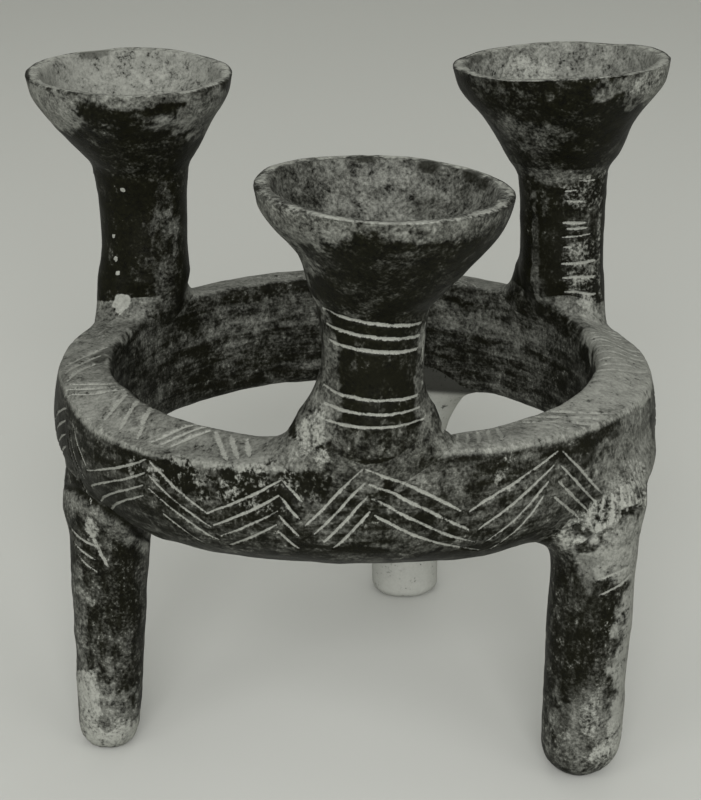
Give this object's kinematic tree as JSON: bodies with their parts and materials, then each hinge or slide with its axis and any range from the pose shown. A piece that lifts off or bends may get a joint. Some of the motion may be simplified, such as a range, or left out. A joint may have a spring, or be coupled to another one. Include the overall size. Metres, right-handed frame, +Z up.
{
  "type": "ring vessel",
  "caption": "Hollow clay ring on three round legs, carrying open bowls on stems, with incised line ornament.",
  "frame": {"origin": "middle of the footprint, on the floor", "axes": "+Z up along the ring's axis, -Y towards the front stem, +X towards the right-hand leg"},
  "size_m": [0.2538, 0.2644, 0.2492],
  "materials": {
    "dark_clay": "burnished",
    "pale_clay": "matt, worn"
  },
  "bodies": {
    "root": {"ring_trough": "dark_clay", "ring_cover": "dark_clay", "front_stem": "dark_clay", "left_stem": "dark_clay", "right_stem": "dark_clay", "front_bowl": "dark_clay", "left_bowl": "dark_clay", "right_bowl": "dark_clay", "left_leg": "dark_clay", "right_leg": "dark_clay", "rear_leg": "pale_clay"}
  },
  "joints": []
}
